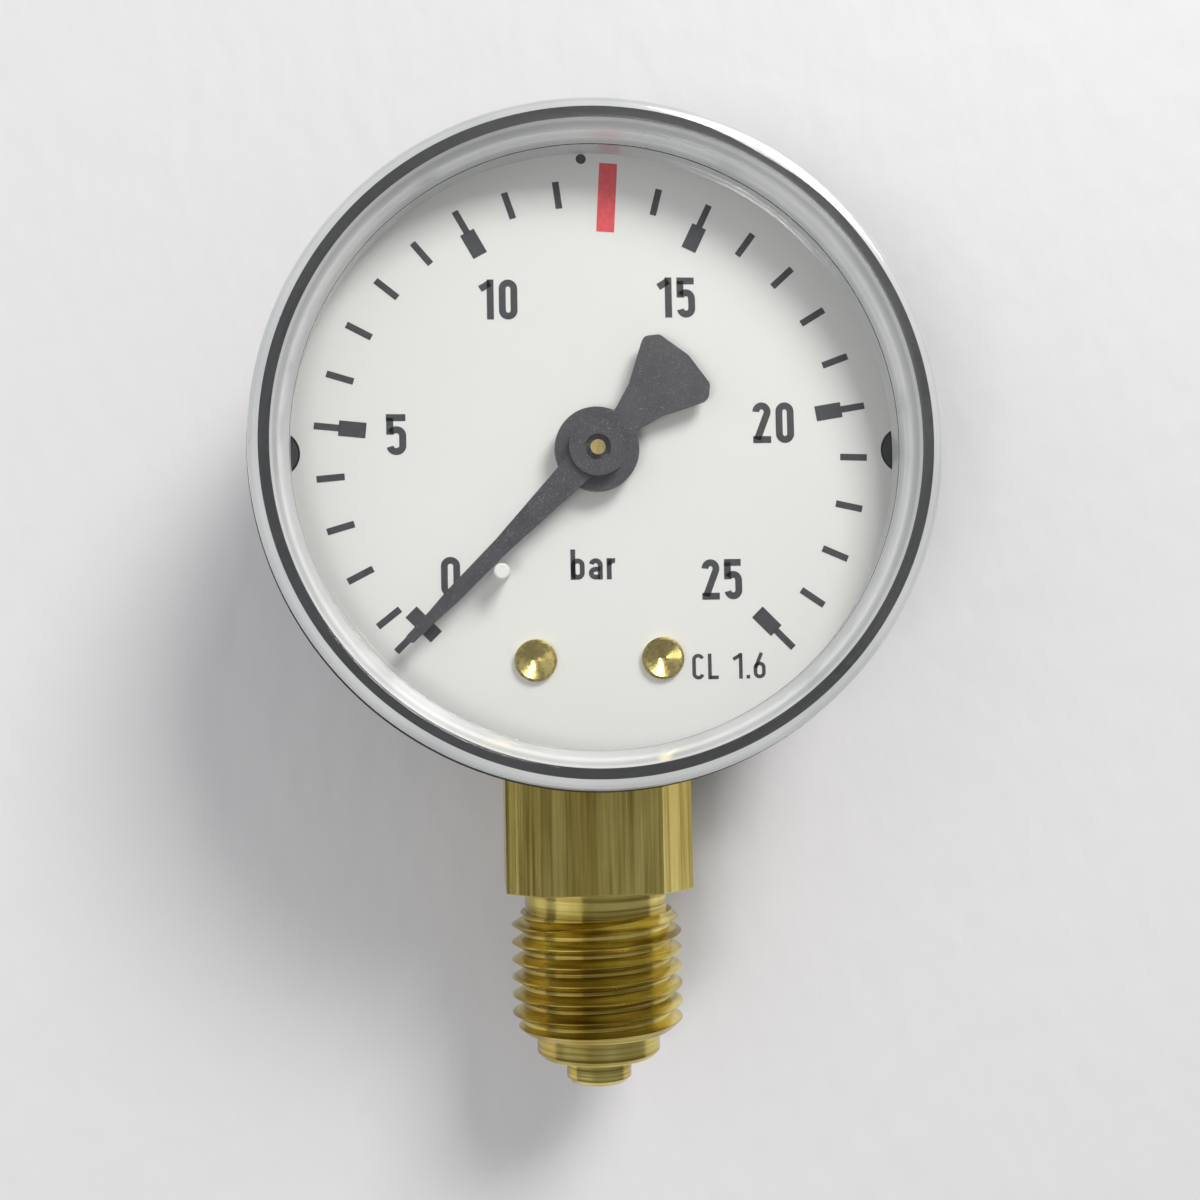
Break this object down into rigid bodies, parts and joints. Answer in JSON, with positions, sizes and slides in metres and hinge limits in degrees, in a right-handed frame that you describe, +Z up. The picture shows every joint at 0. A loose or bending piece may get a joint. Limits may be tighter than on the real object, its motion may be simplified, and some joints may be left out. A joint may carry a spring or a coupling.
{
  "type": "pressure gauge",
  "caption": "Round Bourdon-tube pressure gauge with a white bar dial under a clear push-fit window, a black case and a threaded brass connection below.",
  "frame": {"origin": "centre of the sealing face at the end of the connection's pilot", "axes": "+Z up along the stem towards the dial, -Y out of the dial towards the reader, +X to the reader's right"},
  "size_m": [0.0494, 0.0237, 0.0723],
  "materials": {
    "black_plastic": "satin moulded",
    "clear_plastic": "clear polished",
    "white_plastic": "satin moulded, printed",
    "brass": "turned and milled, bright",
    "bronze": "drawn and tinned at the joints",
    "steel": "plated",
    "pointer_black": "fine matt grain"
  },
  "bodies": {
    "housing": {"case": "black_plastic", "window": "clear_plastic", "dial": "white_plastic", "dial_rivets": "brass", "socket": "brass", "case_screws": "steel", "bourdon_tube": "bronze", "front_plate": "brass", "back_plate": "brass", "pillars": "brass", "plate_screws": "steel", "movement_screws": "steel", "hairspring": "bronze", "hairspring_stud": "brass"},
    "sector": {"sector_gear": "brass", "sector_arbor": "steel", "link_pin_sector": "steel"},
    "pointer_assembly": {"pointer": "pointer_black", "pinion_arbor": "brass", "hairspring_collet": "brass"},
    "tube_tip": {"tube_end_piece": "brass", "link_pin_tip": "steel"},
    "link": {"link": "brass"}
  },
  "joints": [
    {"name": "sector_turn", "type": "hinge", "parent": "housing", "child": "sector", "pos_m": [0.00283, -0.0021, 0.03425], "axis": [0, 1, 0], "range_deg": [-22.5, 0], "stiffness_Nm_per_rad": 0.04},
    {"name": "pointer_turn", "type": "hinge", "parent": "housing", "child": "pointer_assembly", "pos_m": [0, -0.0021, 0.0456], "axis": [0, 1, 0], "range_deg": [0, 270], "deforming": ["hairspring"]},
    {"name": "tip_swing", "type": "hinge", "parent": "housing", "child": "tube_tip", "pos_m": [-0.00358, 0, 0.05027], "axis": [0, 1, 0], "range_deg": [-3.97, 0], "deforming": ["bourdon_tube"]},
    {"name": "link_turn", "type": "hinge", "parent": "tube_tip", "child": "link", "pos_m": [0.013, -0.0031, 0.0446], "axis": [0, 1, 0], "range_deg": [0, 6.07]}
  ],
  "couplings": [
    {"joint": "pointer_turn", "follows": "sector_turn", "ratio": -12},
    {"joint": "tip_swing", "follows": "sector_turn", "ratio": 0.17627},
    {"joint": "link_turn", "follows": "sector_turn", "ratio": -0.26971}
  ]
}
